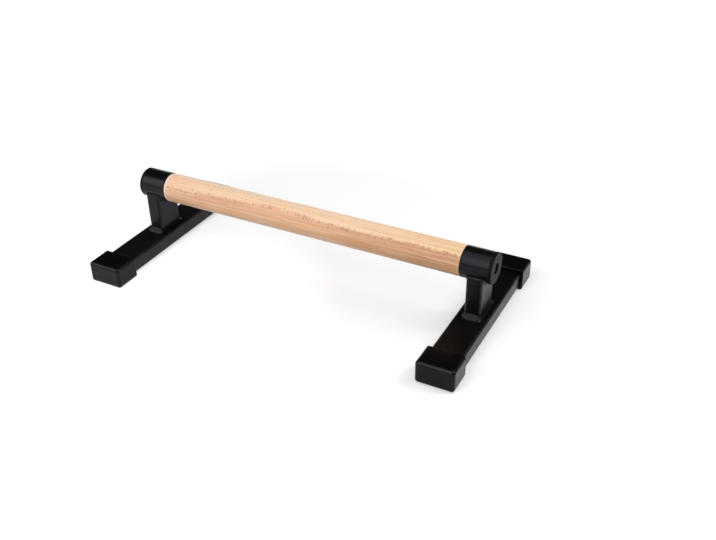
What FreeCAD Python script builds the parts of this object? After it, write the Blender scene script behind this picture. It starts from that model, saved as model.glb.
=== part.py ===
import FreeCAD, Part
import math
import os

# Parallette bar: a round wooden bar between two welded steel stands on rubber feet.
# Millimetres, +X along the bar, +Z up. The origin is on the floor under the middle of the bar.
# Each end of the wood is turned down to a spigot, sits in a round socket and is drawn in by a bolt.

# Wooden bar
bar_diameter = 38.0
grip_length = 420.0  # wood that shows between the sockets
bar_axis_height = 86.0  # floor to the middle of the bar
shoulder_round = 1.5  # eased edge of the wood at each socket
spigot_edge = 1.0  # chamfer on the end of each spigot

# Socket tubes and the plugs that close them
socket_step = 0.25  # the tube stands this far proud of the wood
socket_wall = 2.0
socket_length = 39.0  # rim at the wood to the plug's outer face
rim_round = 0.8  # eased edge of the tube at the wood
spigot_clearance = 0.2  # round the wood, inside the tube
spigot_end_gap = 0.5  # between the end of the wood and the plug
plug_flange = 4.0  # thickness of the plug outside the tube
plug_depth = 8.0  # length of the plug inside the tube
plug_clearance = 0.05  # round the plug, inside the tube
plug_edge = 1.0  # eased edge of the plug's outer face
seam_edge = 0.2  # chamfers that leave a fine groove between tube and plug

# Rectangular tube of the uprights and bases
tube_broad = 40.0
tube_thin = 20.0
tube_wall = 2.0
tube_corner = 3.0  # outside corner radius
tube_inside_corner = 1.0
upright_setback = 9.0  # plug's outer face to the upright's outer face
upright_top_drop = 8.0  # the upright's front and rear walls end this far below the bar's axis
root_gap = 0.2  # between the upright's round cut and the socket

# Rubber foot caps
stance = 260.0  # front to rear over the foot caps
foot_length = 34.0
foot_wall = 3.8  # sides, end and underside
foot_top_wall = 4.6
foot_edge = 4.0  # radius of the long edges
foot_end_edge = 3.8  # radius round the closed end
foot_mouth_edge = 0.8  # radius round the open end
foot_fit = 0.1  # between the cap and the tube

# Weld beads
base_weld_leg = 5.0  # at the upright's front and rear
base_weld_side_leg = 2.6
socket_weld_leg = 1.4  # at the upright's front and rear
socket_weld_side_leg = 2.4
weld_bulge = 0.4  # how far a bead swells past the straight line between its toes

# Socket-head bolt in each plug, with its washer and its insert in the wood
bolt_diameter = 6.0
bolt_length = 20.0
bolt_head_diameter = 10.0
bolt_head_height = 6.0
bolt_head_edge = 0.6
bolt_tip_edge = 0.8
bolt_key = 5.0  # across the flats of the hexagon
bolt_key_depth = 3.0
bolt_clearance = 0.3  # round the bolt, in the plug, the washer and the wood
bolt_end_room = 3.0  # free depth in the wood past the bolt's tip
counterbore_diameter = 13.0
counterbore_depth = 9.5
washer_diameter = 12.0
washer_thickness = 1.6
insert_diameter = 10.0
insert_length = 15.0
thread_clearance = 0.1  # round a thread, in the hole that takes it

# Round-headed screw that locks the bar in each socket, on the rear side
lock_diameter = 5.0
lock_length = 10.0
lock_head_diameter = 9.5
lock_head_height = 2.75
lock_head_rim = 0.5  # straight edge of the head under its dome
lock_key = 3.0
lock_key_depth = 1.7
lock_tilt = 12.0  # degrees above level
lock_end_room = 1.0  # free depth in the wood past the screw's tip
spot_face_clearance = 0.35  # round the screw's head, in the flat cut into the tube

# Places that follow from the sizes above
grip_radius = bar_diameter / 2
socket_radius = grip_radius + socket_step
socket_bore = socket_radius - socket_wall
bolt_radius = bolt_diameter / 2
bolt_hole = bolt_radius + bolt_clearance
lock_hole = lock_diameter / 2 + thread_clearance
rim_x = grip_length / 2
end_x = rim_x + socket_length
tube_end_x = end_x - plug_flange
plug_inner_x = tube_end_x - plug_depth
spigot_end_x = plug_inner_x - spigot_end_gap
counterbore_x = end_x - counterbore_depth
bolt_seat_x = counterbore_x + washer_thickness
bolt_top_x = bolt_seat_x + bolt_head_height
bolt_tip_x = bolt_seat_x - bolt_length
insert_x = spigot_end_x - insert_length
upright_x = end_x - upright_setback - tube_thin / 2
upright_top = bar_axis_height - upright_top_drop
base_top = foot_wall + tube_thin
base_middle = foot_wall + tube_thin / 2
base_length = stance - 2 * foot_wall
spot_face_radius = lock_head_diameter / 2 + spot_face_clearance
lock_seat = math.sqrt(socket_radius**2 - spot_face_radius**2)
lock_tip = lock_seat - lock_length

origin = FreeCAD.Vector(0, 0, 0)
X = FreeCAD.Vector(1, 0, 0)
Y = FreeCAD.Vector(0, 1, 0)
Z = FreeCAD.Vector(0, 0, 1)
bar_axis = Z * bar_axis_height
lock_origin = bar_axis + X * (rim_x + socket_length / 2)
lock_axis = Y * math.cos(math.radians(lock_tilt)) + Z * math.sin(math.radians(lock_tilt))


def outline(base, across, up, stops):
    """Face inside a closed run of stops (a, b). A stop (a, b, c, d) is reached by an arc through (c, d)."""
    places = [base + across * stop[0] + up * stop[1] for stop in stops]
    edges = []
    for number, stop in enumerate(stops):
        start = places[number - 1]
        if len(stop) == 4:
            middle = base + across * stop[2] + up * stop[3]
            edges.append(Part.Arc(start, middle, places[number]).toShape())
        else:
            edges.append(Part.LineSegment(start, places[number]).toShape())
    return Part.Face(Part.Wire(edges))


def eased(corner, entering, leaving, radius):
    """Two stops that round a square corner, met along one unit step and left along another."""
    pull = radius * (1 - math.sqrt(0.5))
    start = [place - step * radius for place, step in zip(corner, entering)]
    end = [place + step * radius for place, step in zip(corner, leaving)]
    middle = [place + (after - before) * pull for place, before, after in zip(corner, entering, leaving)]
    return [tuple(start), (*end, *middle)]


def beside(axis):
    """Unit vector square to an axis that lies along the bar or square to it."""
    return Z if axis is X else X


def turned(base, axis, stops):
    """Solid turned about an axis from stops (place along the axis, radius)."""
    return outline(base, axis, beside(axis), stops).revolve(base, axis, 360)


def drilled(base, axis, start, end, radius):
    """Round rod along an axis between two places on it, to add or to cut away."""
    return Part.makeCylinder(radius, end - start, base + axis * start, axis)


def hexagon(base, axis, top, across_flats, depth):
    """Six-sided key hole, sunk from a place on an axis."""
    corner = across_flats / math.sqrt(3)
    turns = [math.radians(60 * side) for side in range(6)]
    stops = [(corner * math.cos(turn), corner * math.sin(turn)) for turn in turns]
    across = beside(axis)
    return outline(base + axis * top, across, axis.cross(across), stops).extrude(axis * -depth)


def rounded_rectangle(centre, across, up, width, height, radius):
    """Closed wire of a rectangle with round corners."""
    corners = []
    for quarter in range(4):
        side = 1 if quarter in (0, 3) else -1
        level = 1 if quarter in (0, 1) else -1
        middle = centre + across * side * (width / 2 - radius) + up * level * (height / 2 - radius)
        turns = [math.radians(90 * quarter + step) for step in (0, 45, 90)]
        corners.append([middle + (across * math.cos(turn) + up * math.sin(turn)) * radius for turn in turns])
    edges = []
    for quarter, corner in enumerate(corners):
        edges.append(Part.LineSegment(corners[quarter - 1][2], corner[0]).toShape())
        edges.append(Part.Arc(*corner).toShape())
    return Part.Wire(edges)


def bar(centre, across, up, width, height, radius, run):
    """Solid bar of rounded rectangular section, carried along a vector."""
    return Part.Face(rounded_rectangle(centre, across, up, width, height, radius)).extrude(run)


def rectangular_tube(centre, across, up, width, height, run):
    """Hollow rectangular tube carried along a vector."""
    inside = (width - 2 * tube_wall, height - 2 * tube_wall, tube_inside_corner)
    core = bar(centre, across, up, *inside, run)
    return bar(centre, across, up, width, height, tube_corner, run).cut(core)


def upright_bar(side_growth, front_growth, bottom, top):
    """Filled outline of the right upright, grown at its sides and its front and rear, between two heights."""
    section = (tube_thin + 2 * side_growth, tube_broad + 2 * front_growth, tube_corner + front_growth)
    return bar(X * upright_x + Z * bottom, X, Y, *section, Z * (top - bottom))


def mirrored(shape, normal):
    """The same shape on the other side of the plane through the origin square to a vector."""
    return shape.mirror(origin, normal)


def wooden_bar():
    """Grip with eased shoulders and a spigot at each end, drilled for insert, bolt and locking screw."""
    spigot_radius = socket_bore - spigot_clearance
    half = turned(bar_axis, X, [
        (0, 0),
        (spigot_end_x, 0),
        (spigot_end_x, spigot_radius - spigot_edge),
        (spigot_end_x - spigot_edge, spigot_radius),
        (rim_x, spigot_radius),
        *eased((rim_x, grip_radius), (0, 1), (-1, 0), shoulder_round),
        (0, grip_radius),
    ])
    half = half.cut(drilled(bar_axis, X, insert_x, spigot_end_x, insert_diameter / 2 + thread_clearance))
    half = half.cut(drilled(bar_axis, X, bolt_tip_x - bolt_end_room, spigot_end_x, bolt_hole))
    half = half.cut(drilled(lock_origin, lock_axis, lock_tip - lock_end_room, grip_radius, lock_hole))
    return half.fuse(mirrored(half, X)).removeSplitter()


def threaded_insert():
    """Sleeve in the end of the wood that takes the bolt's thread."""
    sleeve = drilled(bar_axis, X, insert_x, spigot_end_x, insert_diameter / 2)
    return sleeve.cut(drilled(bar_axis, X, insert_x, spigot_end_x, bolt_radius + thread_clearance))


def socket_tube():
    """Tube round the spigot, with a flat and a threaded hole for the locking screw."""
    tube = turned(bar_axis, X, [
        (rim_x, socket_bore),
        *eased((rim_x, socket_radius), (0, 1), (1, 0), rim_round),
        (tube_end_x - seam_edge, socket_radius),
        (tube_end_x, socket_radius - seam_edge),
        (tube_end_x, socket_bore),
    ])
    tube = tube.cut(drilled(lock_origin, lock_axis, lock_seat, bar_diameter, spot_face_radius))
    return tube.cut(drilled(lock_origin, lock_axis, 0, bar_diameter, lock_hole))


def end_plug():
    """Plug that closes the tube, turned with a flange, and bored for the bolt and its sunk head."""
    plug_radius = socket_bore - plug_clearance
    return turned(bar_axis, X, [
        (plug_inner_x, bolt_hole),
        (plug_inner_x, plug_radius),
        (tube_end_x, plug_radius),
        (tube_end_x, socket_radius - seam_edge),
        (tube_end_x + seam_edge, socket_radius),
        *eased((end_x, socket_radius), (1, 0), (0, -1), plug_edge),
        (end_x, counterbore_diameter / 2),
        (counterbore_x, counterbore_diameter / 2),
        (counterbore_x, bolt_hole),
    ])


def end_washer():
    """Flat washer on the floor of the plug's counterbore."""
    disc = drilled(bar_axis, X, counterbore_x, bolt_seat_x, washer_diameter / 2)
    return disc.cut(drilled(bar_axis, X, counterbore_x, bolt_seat_x, bolt_hole))


def end_bolt():
    """Socket-head bolt that draws the wood into the socket."""
    bolt = turned(bar_axis, X, [
        (bolt_tip_x, 0),
        (bolt_tip_x, bolt_radius - bolt_tip_edge),
        (bolt_tip_x + bolt_tip_edge, bolt_radius),
        (bolt_seat_x, bolt_radius),
        (bolt_seat_x, bolt_head_diameter / 2),
        *eased((bolt_top_x, bolt_head_diameter / 2), (1, 0), (0, -1), bolt_head_edge),
        (bolt_top_x, 0),
    ])
    return bolt.cut(hexagon(bar_axis, X, bolt_top_x, bolt_key, bolt_key_depth))


def locking_screw():
    """Screw with a domed head that stops the wood turning in the socket."""
    head_radius = lock_head_diameter / 2
    dome_height = lock_head_height - lock_head_rim
    dome_radius = (head_radius**2 + dome_height**2) / (2 * dome_height)
    dome_top = lock_seat + lock_head_height
    half_way = dome_top - dome_radius + math.sqrt(dome_radius**2 - (head_radius / 2) ** 2)
    screw = turned(lock_origin, lock_axis, [
        (lock_tip, 0),
        (lock_tip, lock_diameter / 2),
        (lock_seat, lock_diameter / 2),
        (lock_seat, head_radius),
        (lock_seat + lock_head_rim, head_radius),
        (dome_top, 0, half_way, head_radius / 2),
    ])
    return screw.cut(hexagon(lock_origin, lock_axis, dome_top, lock_key, lock_key_depth))


def upright():
    """Rectangular tube on the base, its front and rear walls cut level, its sides cut to the socket's round."""
    foot = X * upright_x + Z * base_top
    tube = rectangular_tube(foot, X, Y, tube_thin, tube_broad, Z * (upright_top - base_top))
    return tube.cut(drilled(bar_axis, X, 0, end_x, socket_radius + root_gap))


def base_tube():
    """Rectangular tube that lies flat under the upright."""
    start = X * upright_x - Y * (base_length / 2) + Z * base_middle
    return rectangular_tube(start, X, Z, tube_broad, tube_thin, Y * base_length)


def foot_cap():
    """Rubber cap over the rear end of the base tube, eased all round, open towards the middle."""
    mouth = X * upright_x + Y * (stance / 2 - foot_length)
    height = foot_wall + tube_thin + foot_top_wall
    section = (tube_broad + 2 * foot_wall, height, foot_edge)
    cap = bar(mouth + Z * (height / 2), X, Z, *section, Y * foot_length)
    for place, radius in ((stance / 2, foot_end_edge), (mouth.y, foot_mouth_edge)):
        rim = [edge for edge in cap.Edges if abs(edge.BoundBox.YMin - place) + edge.BoundBox.YLength < radius / 100]
        cap = cap.makeFillet(radius, rim)
    hollow = (tube_broad + 2 * foot_fit, tube_thin + 2 * foot_fit, tube_corner + foot_fit)
    return cap.cut(bar(mouth + Z * base_middle, X, Z, *hollow, Y * (foot_length - foot_wall)))


def bead_stops(first_toe, second_toe, root):
    """Section of a bead: a swelling arc between its two toes, closed through a root behind them."""
    run = [second - first for first, second in zip(first_toe, second_toe)]
    length = math.hypot(*run)
    away = (run[1] / length, -run[0] / length)
    middle = [first + step / 2 + way * weld_bulge for first, step, way in zip(first_toe, run, away)]
    return [tuple(root), tuple(first_toe), (*second_toe, *middle)]


def base_weld():
    """Fillet bead carried round the foot of the upright, with a broader run along its front and rear."""
    side_leg = base_weld_side_leg
    foot = X * upright_x + Z * base_top
    path = rounded_rectangle(foot, X, Y, tube_thin, tube_broad, tube_corner)
    start = foot + X * (tube_thin / 2) - Y * (tube_broad / 2 - tube_corner)
    section = outline(start, X, Z, bead_stops((side_leg, 0), (0, side_leg), (0, 0)))
    sweep = Part.BRepOffsetAPI.MakePipeShell(path)
    sweep.setBiNormalMode(Z)
    sweep.add(section.OuterWire)
    sweep.build()
    sweep.makeSolid()
    wall = tube_broad / 2
    stops = bead_stops((wall + base_weld_leg, 0), (wall, base_weld_leg), (wall - tube_corner, 0))
    rear_run = outline(foot - X * (tube_thin / 2), Y, Z, stops).extrude(X * tube_thin)
    bead = sweep.shape().multiFuse([rear_run, mirrored(rear_run, Y)])
    return bead.cut(upright_bar(0, 0, base_top, upright_top)).removeSplitter()


def socket_weld():
    """Saddle bead between upright and socket: straight runs at the front and rear, round runs at the sides.

    A straight run stands on the wall's top. Where that leaves no ledge beside the socket, it laps over the wall.
    """
    leg = socket_weld_leg
    side_leg = socket_weld_side_leg
    half_broad = tube_broad / 2
    meeting = upright_top
    if half_broad < socket_radius:
        meeting = min(meeting, bar_axis_height - math.sqrt(socket_radius**2 - half_broad**2))
    drop = bar_axis_height - meeting
    reach = math.sqrt(socket_radius**2 - drop**2)
    lap = max(leg - max(half_broad - reach, 0), 0)
    toe_angle = math.asin(drop / socket_radius) - leg / socket_radius
    socket_toe = (socket_radius * math.cos(toe_angle), -socket_radius * math.sin(toe_angle))
    wall_toe = (half_broad, -drop - lap)
    start = bar_axis + X * (upright_x - tube_thin / 2 - side_leg)
    rear_run = outline(start, Y, Z, bead_stops(wall_toe, socket_toe, (reach - leg, -drop)))
    rear_run = rear_run.extrude(X * (tube_thin + 2 * side_leg))
    runs = [rear_run, mirrored(rear_run, Y)]
    half_turn = 90 - math.degrees(toe_angle)
    for side in (1, -1):
        face = bar_axis + X * (upright_x + side * tube_thin / 2)
        root = (-side_leg / 2, socket_radius - side_leg / 2)
        stops = bead_stops((side_leg, socket_radius), (0, socket_radius + side_leg), root)
        section = outline(face, X * side, Z * -1, stops)
        section.rotate(face, X, -half_turn)
        runs.append(section.revolve(face, X, 2 * half_turn))
    bead = runs[0].multiFuse(runs[1:])
    bead = bead.common(upright_bar(side_leg, weld_bulge, base_top, bar_axis_height))
    bead = bead.cut(drilled(bar_axis, X, 0, end_x, socket_radius))
    return bead.cut(upright_bar(0, 0, base_top, upright_top)).removeSplitter()


def save(name, shape):
    """Write one piece, which has to be a single closed solid."""
    (solid,) = shape.Solids
    solid.exportStep("parts/" + name + ".step")


os.makedirs("parts", exist_ok=True)
save("wooden_bar", wooden_bar())

right_hand_pieces = {
    "threaded_insert": threaded_insert(),
    "socket_tube": socket_tube(),
    "end_plug": end_plug(),
    "end_washer": end_washer(),
    "end_bolt": end_bolt(),
    "locking_screw": locking_screw(),
    "upright": upright(),
    "base_tube": base_tube(),
    "rear_foot_cap": foot_cap(),
    "front_foot_cap": mirrored(foot_cap(), Y),
    "base_weld": base_weld(),
    "socket_weld": socket_weld(),
}
for name, shape in right_hand_pieces.items():
    save("right_" + name, shape)
    save("left_" + name, mirrored(shape, X))
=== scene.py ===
import math

import bmesh
import bpy
import numpy as np
from mathutils import Matrix, Vector


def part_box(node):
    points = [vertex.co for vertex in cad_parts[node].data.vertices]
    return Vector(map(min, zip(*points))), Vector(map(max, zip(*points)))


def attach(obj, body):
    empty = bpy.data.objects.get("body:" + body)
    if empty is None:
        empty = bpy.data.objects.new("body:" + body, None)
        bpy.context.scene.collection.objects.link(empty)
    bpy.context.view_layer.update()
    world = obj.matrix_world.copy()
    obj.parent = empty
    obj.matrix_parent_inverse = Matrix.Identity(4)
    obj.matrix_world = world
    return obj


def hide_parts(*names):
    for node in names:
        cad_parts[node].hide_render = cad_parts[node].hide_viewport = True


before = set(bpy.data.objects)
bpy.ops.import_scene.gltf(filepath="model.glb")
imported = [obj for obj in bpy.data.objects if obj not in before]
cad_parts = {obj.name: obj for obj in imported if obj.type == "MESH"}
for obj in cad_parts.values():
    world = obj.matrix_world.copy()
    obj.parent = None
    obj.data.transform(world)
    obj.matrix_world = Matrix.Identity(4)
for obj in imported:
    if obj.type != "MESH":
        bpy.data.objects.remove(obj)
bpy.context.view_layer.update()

# Parallette bar: a beech bar between two welded, powder-coated stands on rubber feet.
# Metres, +X along the bar, +Z up, floor at z = 0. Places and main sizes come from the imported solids.

wood_low, wood_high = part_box("wooden_bar")
socket_low, socket_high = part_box("right_socket_tube")
plug_low, plug_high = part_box("right_end_plug")
bolt_low, bolt_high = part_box("right_end_bolt")
washer_low, washer_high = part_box("right_end_washer")
upright_low, upright_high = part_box("right_upright")
base_low, base_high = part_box("right_base_tube")
cap_low, cap_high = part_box("right_rear_foot_cap")
_, base_bead_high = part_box("right_base_weld")
_, socket_bead_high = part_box("right_socket_weld")

bar_height = (wood_low.z + wood_high.z) / 2
grip_radius = (wood_high.z - wood_low.z) / 2
spigot_end_x = wood_high.x
rim_x = socket_low.x
tube_end_x = socket_high.x
socket_radius = (socket_high.z - socket_low.z) / 2
plug_inner_x = plug_low.x
end_x = plug_high.x
washer_x = washer_low.x
bolt_seat_x = washer_high.x
bolt_tip_x = bolt_low.x
bolt_top_x = bolt_high.x
bolt_head_radius = (bolt_high.z - bolt_low.z) / 2
upright_x = (upright_low.x + upright_high.x) / 2
upright_top = upright_high.z
tube_thin = upright_high.x - upright_low.x
tube_broad = upright_high.y - upright_low.y
base_bottom = base_low.z
base_top = base_high.z
base_end_y = base_high.y
cap_mouth_y = cap_low.y
cap_end_y = cap_high.y
cap_width = cap_high.x - cap_low.x
cap_height = cap_high.z - cap_low.z
base_bead_leg = base_bead_high.y - upright_high.y
base_bead_side_leg = base_bead_high.x - upright_high.x
socket_bead_side_leg = socket_bead_high.x - upright_high.x

# Walls, fits and edges that a box doesn't show.
shoulder_round = 0.0015
spigot_edge = 0.001
spigot_clearance = 0.0002
socket_wall = 0.002
rim_round = 0.0008
seam_edge = 0.00015
plug_clearance = 0.00005
plug_edge = 0.001
counterbore_radius = 0.0065
counterbore_edge = 0.0004
bolt_radius = 0.003
bolt_hole = 0.0033
bolt_head_edge = 0.0006
bolt_tip_edge = 0.0008
bolt_key = 0.005
bolt_key_depth = 0.003
key_edge = 0.0002
lock_tilt = math.radians(12)
lock_radius = 0.0025
lock_length = 0.010
lock_tip_edge = 0.0005
lock_tip_rise = 0.0006
lock_head_radius = 0.00475
lock_head_height = 0.00275
lock_head_rim = 0.0005
lock_dome_top = 0.45  # share of the head's radius at which its dome ends
lock_key = 0.003
lock_key_depth = 0.0017
spot_face_radius = 0.0051
spot_face_edge = 0.00015
spot_face_corner = 0.97  # share of the spot face's radius at which its floor starts
spot_face_frame = 0.0075  # half the square of tube wall that is worked round the spot face
tube_wall = 0.002
tube_corner = 0.003
tube_inside_corner = 0.001
cope_gap = 0.0002
cap_wall = 0.0038
cap_edge = 0.004
cap_end_edge = 0.0038
cap_mouth_edge = 0.0008
cap_pocket_edge = 0.0006
cap_least_corner = 0.0004  # of an outline that lies further in than the corner's radius
cap_fit = 0.0001
socket_bead_leg = 0.0014  # at the upright's front and rear
bead_lap = 0.00035  # how far the socket's bead hangs over the upright's front and rear edges
base_bead_corner = 0.0045  # radius of the base bead's toe at its corners
base_bead_side_rise = 0.0011  # how far the base bead climbs the upright's sides
bead_pitch = 0.003  # from one ripple of a bead to the next
base_toe_swell = 0.7  # how much of a bead's swell its toes take on the base
crest_swell = 2.0  # how many times the swell its crest takes
crest_highlight_edge = 2.0  # edge weight on the crest of the socket's bead, which paints a highlight there

# How finely the surfaces are cut.
arc_steps = 8
around = 192
screw_columns = 96
dome_rows = 12
post_rows = 12
rail_rows = 48
bead_rows = 14
spot_face_cuts = 24
spot_face_rings = 7
long_step = 0.006
support_share = 0.2  # of an arc's radius
side_shares = np.r_[0.01, np.linspace(0.03, 0.97, 24), 0.99]
bead_shares = np.linspace(0, 1, 66)[1:-1]
merge_distance = 1e-7
sharp_angle = math.radians(32)

along_bar = np.array([1.0, 0.0, 0.0])
across_bar = np.array([0.0, 1.0, 0.0])
upwards = np.array([0.0, 0.0, 1.0])
bar_centre = upwards * bar_height


# Surfaces

def eased_run(corners):
    """Run of straight stretches through corners (a, b, radius), each corner cut by an arc of its radius.

    With unit steps d into a corner and e out of it, the arc starts radius * tan(turn / 2) before the corner.
    Its points are start + radius * (sin(t) * d + (1 - cos(t)) * n), with n square to d on the side of the turn.
    One more point stands outside each end of an arc, so that smooth shading stays on the arc.
    Gives the points and, for each, 1 on an arc and 0 elsewhere.
    """
    spots = np.array([corner[:2] for corner in corners], float)
    points = []
    edges = []
    for number, (_, _, radius) in enumerate(corners):
        here = spots[number]
        if radius == 0:
            points.append(here[None])
            edges.append([0.0])
            continue
        into = here - spots[number - 1]
        into /= np.linalg.norm(into)
        out = spots[(number + 1) % len(spots)] - here
        out /= np.linalg.norm(out)
        turn = math.acos(into @ out)
        side = out - into * (into @ out)
        side /= np.linalg.norm(side)
        reach = radius * math.tan(turn / 2)
        support = radius * support_share
        start = here - into * reach
        angle = np.linspace(0, turn, arc_steps + 1)[:, None]
        arc = start + radius * (np.sin(angle) * into + (1 - np.cos(angle)) * side)
        points += [start[None] - into * support, arc, here[None] + out * (reach + support)]
        edges.append(np.r_[0.0, np.ones(arc_steps + 1), 0.0])
    return np.vstack(points), np.concatenate(edges)


def refined(points, edges, step):
    """The same run with even extra points, so that no stretch is longer than step."""
    lengths = np.linalg.norm(np.diff(points, axis=0), axis=1)
    cuts = np.maximum(np.ceil(lengths / step).astype(int), 1)
    index = np.repeat(np.arange(len(cuts)), cuts)
    share = (np.arange(len(index)) - np.repeat(np.cumsum(cuts) - cuts, cuts)) / cuts[index]
    between = points[index] + share[:, None] * (points[index + 1] - points[index])
    edge_between = edges[index] + share * (edges[index + 1] - edges[index])
    return np.vstack([between, points[-1:]]), np.r_[edge_between, edges[-1]]


def turned(centre, axis, across, heights, radii, angles):
    """Grid turned about an axis: centre + height * axis + radius * (cos(angle) * across + sin(angle) * third).

    Heights and radii are one number for each row, or one for each row and angle.
    """
    third = np.cross(axis, across)
    heights = np.asarray(heights, float).reshape(len(heights), -1, 1)
    radii = np.asarray(radii, float).reshape(len(radii), -1, 1)
    ring = np.cos(angles)[:, None] * across + np.sin(angles)[:, None] * third
    return centre + heights * axis + radii * ring


def full_turn(count):
    """Even angles round a circle."""
    return 2 * math.pi * np.arange(count) / count


def section(width, height, radius, shares):
    """Closed outline of a rectangle with round corners, with as many points whatever its size.

    Each quarter is an arc about (+-(width / 2 - radius), +-(height / 2 - radius)), then a straight stretch cut at
    the given shares of its length. Sizes may be arrays, one outline for each.
    """
    width, height, radius = (np.asarray(size, float)[..., None, None] for size in (width, height, radius))
    angle = (np.arange(4)[:, None] + np.linspace(0, 1, arc_steps + 1)) * (math.pi / 2)
    side = np.array([1, -1, -1, 1])[:, None]
    level = np.array([1, 1, -1, -1])[:, None]
    across = side * (width / 2 - radius) + radius * np.cos(angle)
    up = level * (height / 2 - radius) + radius * np.sin(angle)
    arcs = np.stack([across, up], axis=-1)
    start = arcs[..., -1:, :]
    end = np.roll(arcs, -1, axis=-3)[..., :1, :]
    straights = start + shares[:, None] * (end - start)
    outline = np.concatenate([arcs, straights], axis=-2)
    return outline.reshape(*outline.shape[:-3], -1, 2)


def section_facing(shares):
    """Outward direction at each point of a section: the arc's own angle, then square to the straight."""
    angle = (np.arange(4)[:, None] + np.linspace(0, 1, arc_steps + 1)) * (math.pi / 2)
    angle = np.concatenate([angle, np.repeat(angle[:, -1:], len(shares), axis=1)], axis=1).ravel()
    return np.stack([np.cos(angle), np.sin(angle)], axis=-1)


def section_edges(shares):
    """1 on the round corners of a section and 0 on its straights."""
    return np.tile(np.r_[np.ones(arc_steps + 1), np.zeros(len(shares))], 4)


def quads(rows, columns, wrap):
    """Faces between neighbouring points of a grid whose columns join up in rings, and whose rows may too."""
    here = np.arange(columns)
    beside = (here + 1) % columns
    count = rows if wrap else rows - 1
    row = np.arange(count)[:, None] * columns
    following = (np.arange(1, count + 1) % rows)[:, None] * columns
    return np.stack([row + here, row + beside, following + beside, following + here], axis=-1)


def patch(grid, edge, wrap=False, start_pole=False, end_pole=False, keep=None):
    """Points, faces and edge weights of a grid. A pole closes a first or last ring with a fan to its middle.

    With wrap the last row joins the first. With keep, a table of true and false, only the true faces stay.
    """
    rows, columns, _ = grid.shape
    faces = quads(rows, columns, wrap)
    if keep is not None:
        faces = faces[keep]
    faces = faces.reshape(-1, 4).tolist()
    points = grid.reshape(-1, 3)
    weights = np.broadcast_to(edge, (rows, columns)).ravel()
    here = np.arange(columns)
    beside = (here + 1) % columns
    for wanted, first in ((start_pole, 0), (end_pole, (rows - 1) * columns)):
        if wanted:
            pole = np.full(columns, len(points))
            faces += np.stack([first + here, first + beside, pole], axis=-1).tolist()
            points = np.vstack([points, points[first:first + columns].mean(axis=0)])
            weights = np.r_[weights, 0.0]
    return points, faces, weights


def piece(name, patches, side, node, finish):
    """Closed mesh from patches that share their borders, on one side of the bar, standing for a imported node."""
    points = []
    faces = []
    weights = []
    count = 0
    for patch_points, patch_faces, patch_weights in patches:
        points.append(patch_points)
        weights.append(patch_weights)
        faces += [[corner + count for corner in face] for face in patch_faces]
        count += len(patch_points)
    points = np.vstack(points) * (side, 1, 1)
    mesh = bpy.data.meshes.new(name)
    mesh.from_pydata(points.tolist(), [], faces)
    mesh.attributes.new("edge", "FLOAT", "POINT").data.foreach_set("value", np.concatenate(weights))
    work = bmesh.new()
    work.from_mesh(mesh)
    bmesh.ops.remove_doubles(work, verts=work.verts, dist=merge_distance)
    bmesh.ops.recalc_face_normals(work, faces=work.faces)
    work.to_mesh(mesh)
    work.free()
    mesh.shade_smooth()
    mesh.set_sharp_from_angle(angle=sharp_angle)
    mesh.materials.append(finish)
    made = bpy.data.objects.new(name, mesh)
    bpy.context.scene.collection.objects.link(made)
    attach(made, "root")
    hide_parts(node)


# Wooden bar

def grip():
    """Turned bar: a grip with eased shoulders between two spigots, its profile turned about the bar's axis."""
    spigot_radius = socket_radius - socket_wall - spigot_clearance
    half = [
        (rim_x, grip_radius, shoulder_round),
        (rim_x, spigot_radius, 0),
        (spigot_end_x - spigot_edge, spigot_radius, 0),
        (spigot_end_x, spigot_radius - spigot_edge, 0),
    ]
    corners = [(-x, r, edge) for x, r, edge in reversed(half)] + half
    run, edges = refined(*eased_run(corners), long_step)
    grid = turned(bar_centre, along_bar, upwards, run[:, 0], run[:, 1], full_turn(around))
    return [patch(grid, edges[:, None], start_pole=True, end_pole=True)]


# Sockets, plugs and their screws

lock_x = (rim_x + end_x) / 2
lock_axis = across_bar * math.cos(lock_tilt) + upwards * math.sin(lock_tilt)
lock_tangent = np.cross(lock_axis, along_bar)
lock_centre = bar_centre + along_bar * lock_x
lock_seat = math.sqrt(socket_radius**2 - spot_face_radius**2)


def on_socket(across, along):
    """Places on the socket's round over a flat spot (across, along) square to the locking screw."""
    height = np.sqrt(socket_radius**2 - across**2)
    return (lock_centre + along[..., None] * along_bar + across[..., None] * lock_tangent
            + height[..., None] * lock_axis)


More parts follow.
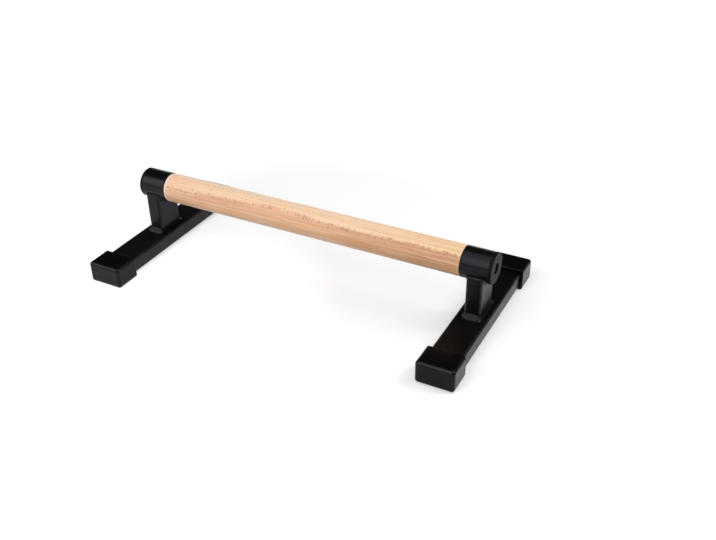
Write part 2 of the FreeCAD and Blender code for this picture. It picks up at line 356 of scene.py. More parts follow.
def socket_shell():
    """Tube with an eased rim, turned about the bar's axis, and a round flat sunk for the locking screw.

    A square of the tube's outside is left open. A second grid fills it: rings that go evenly from the square's
    border to the flat's edge on the round, then down its wall and over its floor to the middle.
    """
    cuts = spot_face_cuts
    bore = socket_radius - socket_wall
    outer, outer_edges = eased_run([
        (rim_x, bore, 0),
        (rim_x, socket_radius, rim_round),
        (tube_end_x, socket_radius, seam_edge),
        (tube_end_x, bore, 0),
    ])
    square = np.linspace(-spot_face_frame, spot_face_frame, cuts + 1)
    worked = np.stack([lock_x + square, np.full(cuts + 1, socket_radius)], axis=-1)
    first_half = outer[:, 0] < lock_x
    run = np.vstack([outer[first_half], worked, outer[~first_half]])
    edges = np.r_[outer_edges[first_half], np.zeros(cuts + 1), outer_edges[~first_half]]
    top_row = int(first_half.sum())
    lock_angle = math.pi / 2 - lock_tilt
    frame_angles = lock_angle + np.arcsin(square / socket_radius)
    rest = np.linspace(frame_angles[-1], frame_angles[0] + 2 * math.pi, around - cuts + 1)[1:-1]
    angles = np.r_[frame_angles, rest]
    grid = turned(bar_centre, along_bar, upwards, run[:, 0], run[:, 1], -angles)
    keep = np.ones((len(run), len(angles)), bool)
    keep[top_row:top_row + cuts, :cuts] = False
    tube = patch(grid, edges[:, None], wrap=True, keep=keep)

    ascending = square[:-1]
    edge = np.full(cuts, spot_face_frame)
    border_along = np.r_[ascending, edge, -ascending, -edge]
    border_across = np.r_[-edge, ascending, edge, -ascending]
    turn = np.arctan2(border_across, border_along)
    share = np.linspace(0, 1, spot_face_rings)[:, None]
    rim = spot_face_radius + spot_face_edge
    along = border_along + share * (rim * np.cos(turn) - border_along)
    across = border_across + share * (rim * np.sin(turn) - border_across)
    slope = on_socket(across, along)
    floor_radius = spot_face_radius * spot_face_corner
    well_radii = np.array([spot_face_radius, spot_face_radius, floor_radius, lock_radius])[:, None]
    well_depth = np.array([spot_face_edge, spot_face_edge * 2, 0, 0])[:, None]  # 0 is down to the floor
    well_along = well_radii * np.cos(turn)
    well_across = well_radii * np.sin(turn)
    well = on_socket(well_across, well_along)
    surface = np.sqrt(socket_radius**2 - well_across**2)
    depth = np.where(well_depth > 0, np.minimum(well_depth, surface - lock_seat), surface - lock_seat)
    well = well - depth[..., None] * lock_axis
    flat = patch(np.vstack([slope, well]), 0.0, end_pole=True)
    return [tube, flat]


def end_cover():
    """Plug with a flange, turned about the bar's axis, and bored for the bolt and its sunk head."""
    run, edges = eased_run([
        (plug_inner_x, bolt_hole, 0),
        (plug_inner_x, socket_radius - socket_wall - plug_clearance, 0),
        (tube_end_x, socket_radius - socket_wall - plug_clearance, 0),
        (tube_end_x, socket_radius, seam_edge),
        (end_x, socket_radius, plug_edge),
        (end_x, counterbore_radius, counterbore_edge),
        (washer_x, counterbore_radius, 0),
        (washer_x, bolt_hole, 0),
    ])
    grid = turned(bar_centre, along_bar, upwards, run[:, 0], run[:, 1], full_turn(around))
    return [patch(grid, edges[:, None], wrap=True)]


def hexagon_radius(apothem, angles):
    """Distance from the middle of a hexagon to its side: apothem / cos(angle from the middle of that side)."""
    sixth = math.pi / 3
    return apothem / np.cos(angles % sixth - sixth / 2)


def keyed_head(centre, axis, across, run, edges, key, key_depth, top):
    """Screw turned from a run of (height, radius) that ends at the top, with a six-sided key hole sunk in it.

    The hole's rings follow hexagon_radius, from a fine chamfer at the top to a flat floor.
    """
    angles = full_turn(screw_columns)
    ring = np.ones(screw_columns)
    hexagon = hexagon_radius(key / 2, angles)
    heights = np.r_[run[:, 0], top, top - key_edge, top - key_depth, top - key_depth]
    radii = np.vstack([
        run[:, 1:] * ring,
        hexagon + key_edge,
        hexagon,
        hexagon,
        hexagon / 3,
    ])
    weights = np.r_[edges, 1.0, 0.0, 0.0, 0.0]
    grid = turned(centre, axis, across, heights, radii, angles)
    return [patch(grid, weights[:, None], start_pole=True, end_pole=True)]


def end_screw():
    """Socket-head bolt in the plug, with a key hole."""
    run, edges = eased_run([
        (bolt_tip_x, bolt_radius - bolt_tip_edge, 0),
        (bolt_tip_x + bolt_tip_edge, bolt_radius, 0),
        (bolt_seat_x, bolt_radius, 0),
        (bolt_seat_x, bolt_head_radius, 0),
        (bolt_top_x, bolt_head_radius, bolt_head_edge),
        (bolt_top_x, bolt_head_radius - 2 * bolt_head_edge, 0),
    ])
    return keyed_head(bar_centre, along_bar, upwards, run, edges, bolt_key, bolt_key_depth, bolt_top_x)


def side_screw():
    """Locking screw with a low domed head: its height falls with the square of the radius."""
    head = np.linspace(1, lock_dome_top, dome_rows)
    dome = lock_seat + lock_head_rim + (lock_head_height - lock_head_rim) * (1 - head**2)
    shank = [
        (lock_seat - lock_length, lock_radius - lock_tip_edge),
        (lock_seat - lock_length + lock_tip_rise, lock_radius),
        (lock_seat, lock_radius),
        (lock_seat, lock_head_radius),
    ]
    run = np.vstack([shank, np.stack([dome, head * lock_head_radius], axis=-1)])
    edges = np.zeros(len(run))
    return keyed_head(lock_centre, lock_axis, along_bar, run, edges, lock_key, lock_key_depth, run[-1, 0])


# Stands

def post():
    """Rectangular tube whose section is carried up to a cope: level walls cut by the round of the socket."""
    cope_radius = socket_radius + cope_gap
    share = np.linspace(0, 1, post_rows)
    outside = section(tube_thin, tube_broad, tube_corner, side_shares)
    inner_sizes = (tube_thin - 2 * tube_wall, tube_broad - 2 * tube_wall, tube_inside_corner)
    inside = section(*inner_sizes, side_shares)
    walls = []
    for outline, rising in ((outside, share), (inside, share[::-1])):
        cope = bar_height - np.sqrt(np.maximum(cope_radius**2 - outline[:, 1] ** 2, 0))
        top = np.minimum(upright_top, cope)
        height = base_top + rising[:, None] * (top - base_top)
        flat = np.broadcast_to(outline, (len(share), *outline.shape))
        walls.append(np.concatenate([flat, height[..., None]], axis=-1))
    grid = np.vstack(walls) + along_bar * upright_x
    return [patch(grid, section_edges(side_shares), wrap=True)]


def foot_rail():
    """Rectangular tube that lies flat: its section is carried from front to rear outside, and back inside."""
    share = np.linspace(-1, 1, rail_rows)
    outside = section(tube_broad, base_top - base_bottom, tube_corner, side_shares)
    inner_sizes = (tube_broad - 2 * tube_wall, base_top - base_bottom - 2 * tube_wall, tube_inside_corner)
    inside = section(*inner_sizes, side_shares)
    middle = (base_top + base_bottom) / 2
    walls = []
    for outline, run in ((outside, share), (inside, share[::-1])):
        y = np.broadcast_to((run * base_end_y)[:, None], (len(share), len(outline)))
        x = np.broadcast_to(upright_x + outline[:, 0], y.shape)
        z = np.broadcast_to(middle + outline[:, 1], y.shape)
        walls.append(np.stack([x, y, z], axis=-1))
    return [patch(np.vstack(walls), section_edges(side_shares), wrap=True)]


def foot(front):
    """Moulded cap: a section carried out along the pocket, round the mouth, and back to the closed end.

    A row inset by d is an outline of width - 2 d and radius - d. Its height and middle go evenly from those of the
    outside, which is thicker at the top, to those of the pocket.
    """
    pocket = (cap_wall - cap_fit, cap_end_y - cap_wall)
    pocket_height = base_top - base_bottom + 2 * cap_fit
    run, edges = eased_run([
        (cap_wall * 2, pocket[1], 0),
        (pocket[0], pocket[1], cap_pocket_edge),
        (pocket[0], cap_mouth_y, cap_mouth_edge),
        (0, cap_mouth_y, cap_mouth_edge),
        (0, cap_end_y, cap_end_edge),
        (cap_wall * 2, cap_end_y, 0),
    ])
    run, edges = refined(run, edges, long_step)
    inset = run[:, 0]
    radius = np.maximum(cap_edge - inset, cap_least_corner)
    inwards = inset / pocket[0]
    height = cap_height + inwards * (pocket_height - cap_height)
    middle = cap_height / 2 + inwards * ((base_top + base_bottom) / 2 - cap_height / 2)
    outline = section(cap_width - 2 * inset, height, radius, side_shares)
    way = -1 if front else 1
    y = np.broadcast_to((way * run[:, 1])[:, None], outline.shape[:-1])
    grid = np.stack([upright_x + outline[..., 0], y, middle[:, None] + outline[..., 1]], axis=-1)
    weights = np.maximum(edges[:, None], section_edges(side_shares)[None])
    return [patch(grid, weights, start_pole=True, end_pole=True)]


# Weld beads

def slow_waves(way, waves):
    """Sum of height * sin(count * way + shift), for waves (height, count, shift)."""
    return sum(height * np.sin(count * way + shift) for height, count, shift in waves)


def bead_wave(outline):
    """Ripples of a bead from -1 to 1, and the swell of its width, round a closed outline.

    The ripples are an even wave along the outline whose pace wanders, bent back towards the toes as crescents.
    The width is a sum of slow waves.
    """
    lengths = np.linalg.norm(np.roll(outline, -1, axis=0) - outline, axis=1)
    way = 2 * math.pi * (np.cumsum(lengths) - lengths) / lengths.sum()
    count = round(lengths.sum() / bead_pitch)
    bend = 2.2
    across = np.linspace(0, 1, bead_rows)[:, None]
    wander = slow_waves(way, ((0.7, 3, 1.3), (0.5, 7, 0.4)))
    crescent = bend * (2 * across - 1) ** 2
    ripple = np.cos(count * way + wander + crescent) * np.sin(math.pi * across) ** 0.5
    swell = slow_waves(way, ((0.05, 2, 0.9), (0.05, 5, 2.0), (0.03, 11, 0.0)))
    return ripple, swell


def closed_bead(first_toe, second_toe, away, root, lift, edge):
    """Bead between two toes: a straight blend plus a lift along its outward direction, closed through its root.

    Lift and edge weight are given for each row and each point round the bead.
    """
    across = np.linspace(0, 1, bead_rows)[:, None, None]
    face = first_toe + across * (second_toe - first_toe) + lift[..., None] * away
    return [patch(np.vstack([root[None], face]), np.vstack([edge[:1], edge]), wrap=True)]


def base_bead():
    """Fillet bead round the foot of the upright, from a toe on the base to a toe on the wall.

    The toe on the base is an outline of its own, squarer at its corners. The toe on the wall is a leg high at the
    front and rear and lower at the sides, and goes from one to the other with the square of the facing's part
    across the bar. The lift is a half-sine bulge and ripples.
    """
    bulge = 0.0001
    ripple_height = 0.00008
    outline = section(tube_thin, tube_broad, tube_corner, bead_shares)
    toe_sizes = (tube_thin + 2 * base_bead_side_leg, tube_broad + 2 * base_bead_leg, base_bead_corner)
    toe = section(*toe_sizes, bead_shares)
    facing = section_facing(bead_shares)
    ripple, swell = bead_wave(outline)
    rise = base_bead_side_rise + facing[:, 1:] ** 2 * (base_bead_leg - base_bead_side_rise)
    ground = along_bar * upright_x + upwards * base_top
    corner = np.pad(outline, ((0, 0), (0, 1))) + ground
    toe_swell = base_toe_swell * swell[:, None]
    base_toe = np.pad(toe + toe_swell * (toe - outline), ((0, 0), (0, 1))) + ground
    wall_toe = corner + rise * (1 + toe_swell) * upwards
    away = (np.pad(facing, ((0, 0), (0, 1))) + upwards) / math.sqrt(2)
    across = np.linspace(0, 1, bead_rows)[:, None]
    lift = bulge * (1 + crest_swell * swell) * np.sin(math.pi * across) + ripple_height * ripple
    return closed_bead(base_toe, wall_toe, away, corner, lift, np.zeros_like(lift))


def socket_bead():
    """Saddle bead between upright and socket, from a toe on the wall to a toe on the socket.

    At the sides the wall's toe lies a leg below the socket's round, and the socket's toe a leg further out along
    the bar. At the front and rear the bead laps over the wall's top edge and climbs a leg round the socket. The
    corners go from one to the other with the square of the facing's part across the bar. The lift is a half-sine
    bulge and ripples. At the front and rear the crest carries an edge weight, which paints a highlight along it in
    the coat's lighter edge colour.
    """
    side_bulge = 0.0002
    front_bulge = 0.0005
    ripple_height = 0.00004
    outline = section(tube_thin, tube_broad, tube_corner, bead_shares)
    facing = section_facing(bead_shares)
    ripple, swell = bead_wave(outline)
    front = facing[:, 1] ** 2
    side_leg = socket_bead_side_leg * (1 + swell)
    front_leg = socket_bead_leg * (1 + swell)
    reach = math.sqrt(socket_radius**2 - (bar_height - upright_top) ** 2)
    x = upright_x + outline[:, 0]
    y = outline[:, 1]
    turn = np.arcsin(np.clip(y, -reach, reach) / socket_radius)
    toe_turn = turn + front_leg / socket_radius * facing[:, 1]
    side_toe = bar_height - np.sqrt((socket_radius + side_leg) ** 2 - y**2)
    wall_toe = np.stack([
        x,
        y + bead_lap * front * facing[:, 1],
        side_toe + front * (upright_top - 2 * bead_lap - side_toe),
    ], axis=-1)
    socket_toe = np.stack([
        x + side_leg * facing[:, 0],
        socket_radius * np.sin(toe_turn),
        bar_height - socket_radius * np.cos(toe_turn),
    ], axis=-1)
    along = np.stack([-facing[:, 1], facing[:, 0], np.zeros_like(turn)], axis=-1)
    away = np.cross(along, socket_toe - wall_toe)
    away /= np.linalg.norm(away, axis=1, keepdims=True)
    inside = socket_radius - socket_wall / 4
    root = np.stack([x, inside * np.sin(turn), bar_height - inside * np.cos(turn)], axis=-1)
    across = np.linspace(0, 1, bead_rows)[:, None]
    bulge = side_bulge + front * (front_bulge - side_bulge)
    lift = bulge * (1 + crest_swell * swell) * np.sin(math.pi * across) + ripple_height * ripple
    # Painted highlight along the bead's crest at the front and rear, carried by the edge weight.
    painted_crest_highlight = crest_highlight_edge * front * np.sin(math.pi * across)
    return closed_bead(wall_toe, socket_toe, away, root, lift, painted_crest_highlight)


# Materials

def add(tree, kind, inputs=None, **settings):
    """New shader node. Inputs, by name or number, take a value or another node's output."""
    made = tree.nodes.new("ShaderNode" + kind)
    for key, value in settings.items():
        setattr(made, key, value)
    for key, value in (inputs or {}).items():
        if isinstance(value, bpy.types.NodeSocket):
            tree.links.new(value, made.inputs[key])
        else:
            made.inputs[key].default_value = value
    return made


def maths(tree, operation, first, second=0.0, clamp=False):
    """Output of one sum, difference or other step on two values."""
    return add(tree, "Math", {0: first, 1: second}, operation=operation, use_clamp=clamp).outputs[0]


def product(tree, first, second, clamp=False):
    """Two values multiplied."""
    return maths(tree, "MULTIPLY", first, second, clamp)


def scaled(tree, value, low, high, to_low, to_high):
    """A value carried from one range to another, held at its ends."""
    sockets = {"Value": value, "From Min": low, "From Max": high, "To Min": to_low, "To Max": to_high}
    return add(tree, "MapRange", sockets).outputs["Result"]


def blended(tree, share, first, second, blend_type="MIX"):
    """Two colours mixed by a share."""
    colours = {0: share, 6: first, 7: second}
    return add(tree, "Mix", colours, data_type="RGBA", blend_type=blend_type).outputs[2]


def stretched(tree, vector, scale):
    """Coordinates scaled along each axis, so that a pattern is longer one way than another."""
    return add(tree, "VectorMath", {0: vector, 1: scale}, operation="MULTIPLY").outputs[0]


def noise(tree, vector, scale, detail=2.0, roughness=0.5):
    """Value of a cloudy pattern, about 0.5 in the middle."""
    sockets = {"Vector": vector, "Scale": scale, "Detail": detail, "Roughness": roughness}
    return add(tree, "TexNoise", sockets).outputs["Fac"]


def ramp(tree, value, stops):
    """Colour that goes through stops (place from 0 to 1, colour) as a value grows."""
    made = add(tree, "ValToRGB", {"Fac": value})
    elements = made.color_ramp.elements
    while len(elements) < len(stops):
        elements.new(1.0)
    for element, (stop, colour) in zip(elements, stops):
        element.position = stop
        element.color = (*colour, 1.0)
    return made.outputs["Color"]


def group(name, numbers, result):
    """Empty node group with a vector input, number inputs {name: default} and one number as its result.

    Gives its tree, what comes in, and the socket that takes the result.
    """
    tree = bpy.data.node_groups.new(name, "ShaderNodeTree")
    tree.interface.new_socket("Vector", in_out="INPUT", socket_type="NodeSocketVector")
    for label, default in numbers.items():
        made = tree.interface.new_socket(label, in_out="INPUT", socket_type="NodeSocketFloat")
        made.default_value = default
    tree.interface.new_socket(result, in_out="OUTPUT", socket_type="NodeSocketFloat")
    given = tree.nodes.new("NodeGroupInput").outputs
    return tree, given, tree.nodes.new("NodeGroupOutput").inputs[result]


def peel_group():
    """Fine lumps of a sprayed or moulded skin: slow waves under a fine stipple, as a height from 0 to 1."""
    tree, given, result = group("skin_lumps", {"Lumps": 500.0, "Stipple": 2600.0, "Share": 0.5}, "Height")
    slow = noise(tree, given["Vector"], given["Lumps"], 1.0)
    fine = noise(tree, given["Vector"], given["Stipple"])
    mixed = add(tree, "Mix", {0: given["Share"], 2: slow, 3: fine}).outputs[0]
    tree.links.new(mixed, result)
    return tree


def edge_group():
    """Worn edges, and the painted highlight on the socket bead's crest: the edge weight of the mesh, broken up by a
    cloudy pattern, as a mask from 0 to 1.
    """
    tree, given, result = group("edge_wear_and_crest_highlight", {"Scale": 180.0, "Amount": 0.5}, "Mask")
    edge = add(tree, "Attribute", attribute_name="edge").outputs["Fac"]
    cloud = noise(tree, given["Vector"], given["Scale"], 4.0, 0.6)
    broken = scaled(tree, cloud, 0.42, 0.62, 0.0, 1.0)
    mask = product(tree, product(tree, edge, broken), given["Amount"], clamp=True)
    tree.links.new(mask, result)
    return tree


def cloud_group():
    """Slow cloudy change over a surface, as a value between two ends."""
    tree, given, result = group("cloudy", {"Scale": 30.0, "Low": 0.0, "High": 1.0}, "Value")
    cloud = noise(tree, given["Vector"], given["Scale"], 5.0, 0.6)
    value = scaled(tree, cloud, 0.3, 0.7, given["Low"], given["High"])
    tree.links.new(value, result)
    return tree


skin_lumps = peel_group()
edge_wear_and_crest_highlight = edge_group()
cloudy = cloud_group()


def placed(tree, shared, inputs):
    """A shared node group in a material, with its own values."""
    return add(tree, "Group", inputs, node_tree=shared).outputs[0]


def new_finish(name):
    """Empty material, its node tree, its shader and the object's own coordinates."""
    material = bpy.data.materials.new(name)
    material.use_nodes = True
    tree = material.node_tree
    shader = tree.nodes["Principled BSDF"]
    return material, tree, shader, add(tree, "TexCoord").outputs["Object"]


def bumped(tree, shader, height, depth):
    """Height that tilts the shader's normal. Depth is the real one, in metres, of a height of 1."""
    bump = add(tree, "Bump", {"Height": height, "Strength": 1.0, "Distance": depth})
    tree.links.new(bump.outputs["Normal"], shader.inputs["Normal"])


def ring_distance(tree, place, along):
    """Distance from the pith beside the bar, in metres, as the growth rings run.

    Added to the plain distance are a slow and a quick wave along the grain, and taken from it is a drift that goes
    through stops along the bar. Past the rosy wood a fine jag roughens it.
    """
    pith = (0.0, -0.030, bar_height - 0.040)
    waves = (((0.06, 1.0, 1.0), 60.0, 0.003), ((0.40, 1.0, 1.0), 70.0, 0.006))  # stretch, scale, reach
    drift_stops = ((0.00, 0.00), (0.17, 0.16), (0.29, 0.75), (0.40, 1.00), (0.50, 0.80), (0.58, 0.42),
                   (0.72, 0.36), (0.83, 0.70), (0.95, 0.42))
    drift_reach = 0.0054
    jag_reach = 0.0050
    from_pith = add(tree, "VectorMath", {0: place, 1: pith}, operation="SUBTRACT").outputs[0]
    ringwise = stretched(tree, from_pith, (0.0, 1.0, 1.0))
    distance = add(tree, "VectorMath", {0: ringwise}, operation="LENGTH").outputs["Value"]
    for stretch, scale, reach in waves:
        wave = noise(tree, stretched(tree, from_pith, stretch), scale)
        distance = maths(tree, "ADD", distance, product(tree, maths(tree, "SUBTRACT", wave, 0.5), reach))
    drift = ramp(tree, along, [(stop, (level,) * 3) for stop, level in drift_stops])
    distance = maths(tree, "SUBTRACT", distance, product(tree, drift, drift_reach))
    jag = maths(tree, "SUBTRACT", noise(tree, stretched(tree, place, (330.0, 130.0, 130.0)), 1.0), 0.5)
    jag = product(tree, jag, scaled(tree, distance, 0.046, 0.051, 0.0, jag_reach))
    return maths(tree, "ADD", distance, jag)


def beech_tone(tree, where, along, distance):
    """Broad colours of the bar: stops along the ring distance, then its ends and its top.

    The stops give the rosy wood of the front, one pale ring in it, and the cream wood of the top; the last stop is
    paler still, partly a painted sheen. The left end is rosier. A strip along the top's rear is painted paler, a
    painted sheen that fades towards the right end. Towards the right end the rosy wood is drawn darker and browner,
    and the cream wood more like honey.
    """
    nearest, furthest = 0.030, 0.070
    cream_from, cream_at = 0.0510, 0.0535
    stops = (
        (0.00, (0.655, 0.400, 0.240)),
        (0.15, (0.700, 0.405, 0.225)),
        (0.29, (0.705, 0.400, 0.220)),
        (0.34, (0.790, 0.495, 0.310)),
        (0.38, (0.705, 0.395, 0.220)),
        (0.555, (0.700, 0.398, 0.240)),
        (0.615, (0.845, 0.590, 0.385)),
        (0.88, (0.860, 0.615, 0.400)),
        # Palest stop: cream wood with a painted sheen mixed into it.
        (1.00, (0.900, 0.730, 0.550)),
    )
    left_rose = (0.860, 0.520, 0.330, 1.0)
    rear_painted_sheen = (0.930, 0.780, 0.620, 1.0)
    right_brown = (0.76, 0.645, 0.50, 1.0)
    right_honey = (0.965, 0.94, 0.82, 1.0)
    tone = ramp(tree, scaled(tree, distance, nearest, furthest, 0.0, 1.0), stops)
    tone = blended(tree, scaled(tree, along, 0.02, 0.15, 0.45, 0.0), tone, left_rose)
    # Painted sheen: a paler strip along the top's rear, weaker towards the right end.
    pale = product(tree, scaled(tree, where["Y"], -0.004, 0.006, 0.0, 0.95),
                   scaled(tree, where["Y"], 0.008, 0.016, 1.0, 0.0))
    pale = product(tree, pale, scaled(tree, along, 0.60, 0.90, 1.0, 0.20))
    tone = blended(tree, pale, tone, rear_painted_sheen)
    # Towards the right end the rosy wood is multiplied darker and browner.
    brown = product(tree, scaled(tree, distance, cream_from, cream_at, 1.0, 0.0),
                    scaled(tree, along, 0.54, 0.90, 0.0, 1.0))
    tone = blended(tree, brown, tone, right_brown, "MULTIPLY")
    honey = product(tree, scaled(tree, distance, cream_from, cream_at, 0.0, 1.0),
                    scaled(tree, along, 0.70, 0.98, 0.0, 1.0))
    return blended(tree, honey, tone, right_honey, "MULTIPLY")


def beech():
    """Steamed beech with a satin oil: growth rings, patches, streaks, ray flecks and pores over its broad tone.

    A ring darkens towards its late wood. The flecks gather along the border between rosy and cream wood. The eased
    shoulders are pale, partly paler sanded wood and partly a painted highlight, and the left one most of all.
    """
    ring_width = 0.0023
    fleck_border = 0.0517
    patch_rose = (0.860, 0.560, 0.400, 1.0)
    late_wood = (0.560, 0.290, 0.165, 1.0)
    light_streak = (0.870, 0.640, 0.450, 1.0)
    dark_streak = (0.560, 0.290, 0.170, 1.0)
    fleck_brown = (0.450, 0.220, 0.115, 1.0)
    pore_brown = (0.420, 0.230, 0.130, 1.0)
    shoulder_cream_and_highlight = (0.900, 0.780, 0.640, 1.0)
    material, tree, shader, place = new_finish("beech_wood")
    where = add(tree, "SeparateXYZ", {0: place}).outputs
    along = scaled(tree, where["X"], -rim_x, rim_x, 0.0, 1.0)
    distance = ring_distance(tree, place, along)
    tone = beech_tone(tree, where, along, distance)

    patchy = noise(tree, stretched(tree, place, (22.0, 90.0, 90.0)), 1.0)
    tone = blended(tree, scaled(tree, patchy, 0.45, 0.70, 0.0, 0.30), tone, patch_rose)
    ring = maths(tree, "FRACT", maths(tree, "DIVIDE", distance, ring_width))
    late_stops = ((0.0, 0.0), (0.5, 0.2), (0.88, 1.0), (1.0, 0.0))
    late = ramp(tree, ring, [(stop, (level,) * 3) for stop, level in late_stops])
    tone = blended(tree, product(tree, late, 0.16), tone, late_wood)
    streak = noise(tree, stretched(tree, place, (7.0, 560.0, 560.0)), 1.0, 4.0, 0.65)
    tone = blended(tree, scaled(tree, streak, 0.51, 0.68, 0.0, 0.52), tone, light_streak)
    tone = blended(tree, scaled(tree, streak, 0.49, 0.31, 0.0, 0.48), tone, dark_streak)

    border = maths(tree, "ABSOLUTE", maths(tree, "SUBTRACT", distance, fleck_border))
    level = scaled(tree, border, 0.0, 0.0045, 0.545, 0.70)
    fleck = noise(tree, stretched(tree, place, (430.0, 270.0, 270.0)), 1.0, 1.0)
    fleck_mask = scaled(tree, maths(tree, "SUBTRACT", fleck, level), 0.0, 0.06, 0.0, 1.0)
    tone = blended(tree, product(tree, fleck_mask, 0.75), tone, fleck_brown)
    pore = noise(tree, stretched(tree, place, (420.0, 5200.0, 5200.0)), 1.0)
    tone = blended(tree, scaled(tree, pore, 0.55, 0.75, 0.0, 0.18), tone, pore_brown)

    # The eased shoulders are painted paler: partly sanded wood, partly a painted highlight where they catch the
    # light.
    shoulder = add(tree, "Attribute", attribute_name="edge").outputs["Fac"]
    shoulder = product(tree, shoulder, scaled(tree, along, 0.30, 0.70, 0.90, 0.30))
    shoulder = maths(tree, "MAXIMUM", shoulder, scaled(tree, along, 0.004, 0.009, 0.80, 0.0))
    tone = blended(tree, shoulder, tone, shoulder_cream_and_highlight)
    tree.links.new(tone, shader.inputs["Base Color"])
    gloss = placed(tree, cloudy, {"Vector": place, "Scale": 45.0, "Low": 0.44, "High": 0.56})
    tree.links.new(gloss, shader.inputs["Roughness"])
    shader.inputs["Specular IOR Level"].default_value = 0.35
    relief = maths(tree, "SUBTRACT", pore, product(tree, fleck_mask, 0.3))
    bumped(tree, shader, relief, depth=0.00006)
    return material


def powder_coat(name, smooth, rough, shine):
    """Black powder coat on steel, with fine orange peel, a thinner, lighter coat along the edges, and a painted
    highlight in that edge colour along the crest of the socket's bead.

    Its roughness goes from smooth to rough in clouds, and shine is its specular level.
    """
    material, tree, shader, place = new_finish(name)
    # The lighter edge colour also paints a highlight along the socket bead's crest, where the bead carries a large
    # edge weight.
    worn = placed(tree, edge_wear_and_crest_highlight, {"Vector": place, "Scale": 240.0, "Amount": 0.35})
    haze = placed(tree, cloudy, {"Vector": place, "Scale": 28.0, "Low": 0.0, "High": 1.0})
    tone = blended(tree, haze, (0.0020, 0.0020, 0.0022, 1.0), (0.0032, 0.0031, 0.0031, 1.0))
    tone = blended(tree, worn, tone, (0.030, 0.029, 0.028, 1.0))
    tree.links.new(tone, shader.inputs["Base Color"])
    gloss = placed(tree, cloudy, {"Vector": place, "Scale": 70.0, "Low": smooth, "High": rough})
    tree.links.new(gloss, shader.inputs["Roughness"])
    shader.inputs["Specular IOR Level"].default_value = shine
    shader.inputs["Specular Tint"].default_value = (0.88, 0.86, 1.0, 1.0)
    lumps = placed(tree, skin_lumps, {"Vector": place, "Lumps": 420.0, "Stipple": 1900.0, "Share": 0.35})
    bumped(tree, shader, lumps, depth=0.000012)
    return material


def foot_rubber():
    """Black moulded rubber: a smooth skin of low shine over a fine spark-eroded texture."""
    material, tree, shader, place = new_finish("foot_rubber")
    worn = placed(tree, edge_wear_and_crest_highlight, {"Vector": place, "Scale": 320.0, "Amount": 0.4})
    haze = placed(tree, cloudy, {"Vector": place, "Scale": 40.0, "Low": 0.0, "High": 1.0})
    tone = blended(tree, haze, (0.0014, 0.0014, 0.0015, 1.0), (0.0024, 0.0023, 0.0023, 1.0))
    tone = blended(tree, worn, tone, (0.018, 0.018, 0.018, 1.0))
    tree.links.new(tone, shader.inputs["Base Color"])
    gloss = placed(tree, cloudy, {"Vector": place, "Scale": 90.0, "Low": 0.15, "High": 0.21})
    tree.links.new(gloss, shader.inputs["Roughness"])
    shader.inputs["Specular IOR Level"].default_value = 0.14
    lumps = placed(tree, skin_lumps, {"Vector": place, "Lumps": 900.0, "Stipple": 3600.0, "Share": 0.7})
    bumped(tree, shader, lumps, depth=0.000015)
    return material


def black_oxide():
    """Blackened steel screws: dark, a little metallic, brighter where the key and the seat rub."""
    material, tree, shader, place = new_finish("black_fastener")
    worn = placed(tree, edge_wear_and_crest_highlight, {"Vector": place, "Scale": 600.0, "Amount": 0.6})
    haze = placed(tree, cloudy, {"Vector": place, "Scale": 200.0, "Low": 0.0, "High": 1.0})
    tone = blended(tree, haze, (0.016, 0.015, 0.014, 1.0), (0.030, 0.028, 0.026, 1.0))
    tone = blended(tree, worn, tone, (0.12, 0.11, 0.10, 1.0))
    tree.links.new(tone, shader.inputs["Base Color"])
    tree.links.new(scaled(tree, worn, 0.0, 1.0, 0.5, 0.9), shader.inputs["Metallic"])
    gloss = placed(tree, cloudy, {"Vector": place, "Scale": 400.0, "Low": 0.30, "High": 0.42})
    tree.links.new(gloss, shader.inputs["Roughness"])
    lumps = placed(tree, skin_lumps, {"Vector": place, "Lumps": 1500.0, "Stipple": 6000.0, "Share": 0.5})
    bumped(tree, shader, lumps, depth=0.00001)
    return material


def turned_brass():
    """Turned brass of the threaded inserts: fine tool rings along the axis and a dull bloom."""
    material, tree, shader, place = new_finish("brass_insert")
    rings = noise(tree, stretched(tree, place, (9000.0, 40.0, 40.0)), 1.0)
    bloom = placed(tree, cloudy, {"Vector": place, "Scale": 260.0, "Low": 0.0, "High": 1.0})
    tone = blended(tree, bloom, (0.66, 0.45, 0.16, 1.0), (0.52, 0.33, 0.11, 1.0))
    tree.links.new(tone, shader.inputs["Base Color"])
    shader.inputs["Metallic"].default_value = 1.0
    tree.links.new(scaled(tree, rings, 0.3, 0.7, 0.25, 0.42), shader.inputs["Roughness"])
    bumped(tree, shader, rings, depth=0.00001)
    return material


wood_finish = beech()
steel_finish = powder_coat("powder_coat", smooth=0.26, rough=0.34, shine=0.19)
plug_finish = powder_coat("matt_powder_coat", smooth=0.46, rough=0.54, shine=0.09)
rubber_finish = foot_rubber()
screw_finish = black_oxide()
brass_finish = turned_brass()


# The assembly

piece("beech_bar", grip(), 1, "wooden_bar", wood_finish)
for hand, side in (("right", 1), ("left", -1)):
    steel_pieces = (
        ("socket_shell", socket_shell(), "socket_tube", steel_finish),
        ("end_cover", end_cover(), "end_plug", plug_finish),
        ("post", post(), "upright", steel_finish),
        ("foot_rail", foot_rail(), "base_tube", steel_finish),
        ("base_bead", base_bead(), "base_weld", steel_finish),
        ("socket_bead", socket_bead(), "socket_weld", steel_finish),
    )
    for name, patches, node, finish in steel_pieces:
        piece(f"{hand}_{name}", patches, side, f"{hand}_{node}", finish)
    screws = (("end_screw", end_screw(), "end_bolt"), ("side_screw", side_screw(), "locking_screw"))
    for name, patches, node in screws:
        piece(f"{hand}_{name}", patches, side, f"{hand}_{node}", screw_finish)
    for end, front in (("front", True), ("rear", False)):
        piece(f"{hand}_{end}_foot", foot(front), side, f"{hand}_{end}_foot_cap", rubber_finish)
    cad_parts[f"{hand}_end_washer"].data.materials[0] = screw_finish
    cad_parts[f"{hand}_threaded_insert"].data.materials[0] = brass_finish


# Floor, light and camera

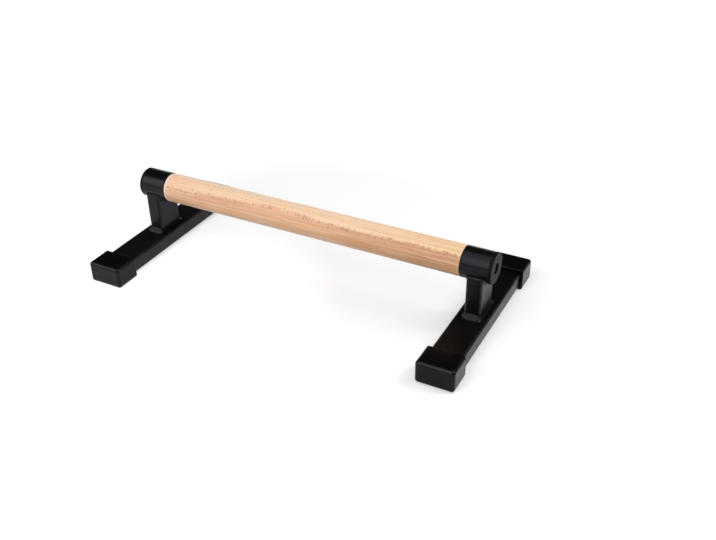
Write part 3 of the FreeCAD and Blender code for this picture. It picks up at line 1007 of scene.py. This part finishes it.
def white_floor():
    """Plain pale floor: it takes light and shadow, and shows white to the camera and in reflections.

    A glow that only they see brings the lit floor up to white. It is even near the object, stronger beside the left
    stand, where less light falls, and stronger again far off.
    """
    near_glow = 0.33
    left_glow = 0.64
    far_glow = 0.95
    left_spot = (-0.17, -0.13, 0.0)
    material = bpy.data.materials.new("pale_floor")
    material.use_nodes = True
    tree = material.node_tree
    tree.nodes.clear()
    paths = add(tree, "LightPath").outputs
    seen = maths(tree, "MAXIMUM", paths["Is Camera Ray"], paths["Is Glossy Ray"])
    seen = maths(tree, "MAXIMUM", seen, paths["Is Transmission Ray"])
    place = add(tree, "TexCoord").outputs["Object"]
    beside = add(tree, "VectorMath", {0: place, 1: left_spot}, operation="DISTANCE").outputs["Value"]
    away = add(tree, "VectorMath", {0: place}, operation="LENGTH").outputs["Value"]
    left_lift = scaled(tree, beside, 0.10, 0.25, left_glow, near_glow)
    far_lift = scaled(tree, away, 0.3, 0.9, near_glow, far_glow)
    white = product(tree, seen, maths(tree, "MAXIMUM", left_lift, far_lift))
    paint = add(tree, "BsdfDiffuse", {"Color": (0.70, 0.70, 0.70, 1.0)})
    glow = add(tree, "Emission", {"Color": (1.0, 1.0, 1.0, 1.0), "Strength": white})
    both = add(tree, "AddShader", {0: paint.outputs[0], 1: glow.outputs[0]})
    add(tree, "OutputMaterial", {"Surface": both.outputs[0]})
    return material


floor_reach = 40.0
floor_drop = 0.0001
floor_mesh = bpy.data.meshes.new("floor")
floor_signs = ((-1, -1), (1, -1), (1, 1), (-1, 1))
floor_corners = [(x * floor_reach, y * floor_reach, -floor_drop) for x, y in floor_signs]
floor_mesh.from_pydata(floor_corners, [], [(0, 1, 2, 3)])
floor_mesh.materials.append(white_floor())
floor = bpy.data.objects.new("floor", floor_mesh)
bpy.context.scene.collection.objects.link(floor)


def softbox(name, place, aim, width, height, radiance):
    """Oblong lamp that faces a point. Its power is radiance * pi * area, so its brightness keeps with its size."""
    lamp = bpy.data.lights.new(name, "AREA")
    lamp.shape = "RECTANGLE"
    lamp.size = width
    lamp.size_y = height
    lamp.energy = radiance * math.pi * width * height
    made = bpy.data.objects.new(name, lamp)
    made.location = place
    made.rotation_euler = (Vector(aim) - Vector(place)).to_track_quat("-Z", "Y").to_euler()
    bpy.context.scene.collection.objects.link(made)


middle = (0.0, 0.0, 0.06)
right_front = (0.50, -0.32, 0.06)
softbox("key_light", (-1.44, -1.21, 1.12), middle, width=0.92, height=1.4, radiance=3.7)
softbox("strip_light", (-0.27, -1.45, 1.25), middle, width=0.65, height=1.6, radiance=3.7)
softbox("top_light", (0.50, -0.32, 1.70), right_front, width=2.0, height=1.35, radiance=1.8)
softbox("back_light", (1.35, 0.70, 1.45), middle, width=1.1, height=1.1, radiance=5.4)

# The surroundings are white at the horizon, where the floor ends, and dark above it.
horizon_glow = 1.0
sky_glow = 0.03
glow_top, sky_bottom = 0.04, 0.20  # sines of the angle above the horizon
world = bpy.data.worlds.new("studio")
bpy.context.scene.world = world
world.use_nodes = True
sky = world.node_tree
sky.nodes.clear()
towards = add(sky, "TexCoord").outputs["Generated"]
climb = add(sky, "SeparateXYZ", {0: towards}).outputs["Z"]
brightness = scaled(sky, climb, glow_top, sky_bottom, horizon_glow, sky_glow)
backdrop = add(sky, "Background", {"Color": (1.0, 1.0, 1.0, 1.0), "Strength": brightness})
add(sky, "OutputWorld", {"Surface": backdrop.outputs[0]})

# The camera stands where the photograph was taken from. Angles are in radians.
picture_width = 716
focal_length = 906.45  # in pixels of the picture
sensor_width = 36.0
camera_place = Vector((0.5167, -0.8441, 0.6440))
camera_yaw = 0.4867
camera_pitch = -0.5688
camera_roll = -0.0147

ahead = Vector((-math.sin(camera_yaw) * math.cos(camera_pitch), math.cos(camera_yaw) * math.cos(camera_pitch),
                math.sin(camera_pitch)))
level_right = Vector((math.cos(camera_yaw), math.sin(camera_yaw), 0.0))
level_up = level_right.cross(ahead)
right = level_right * math.cos(camera_roll) + level_up * math.sin(camera_roll)
up = level_up * math.cos(camera_roll) - level_right * math.sin(camera_roll)
lens = bpy.data.cameras.new("camera")
lens.sensor_width = sensor_width
lens.lens = focal_length * sensor_width / picture_width
lens.clip_start = 0.01
lens.clip_end = 200.0
camera = bpy.data.objects.new("camera", lens)
camera.matrix_world = Matrix((right, up, -ahead)).transposed().to_4x4()
camera.location = camera_place
bpy.context.scene.collection.objects.link(camera)
bpy.context.scene.camera = camera
bpy.context.scene.view_settings.view_transform = "Standard"
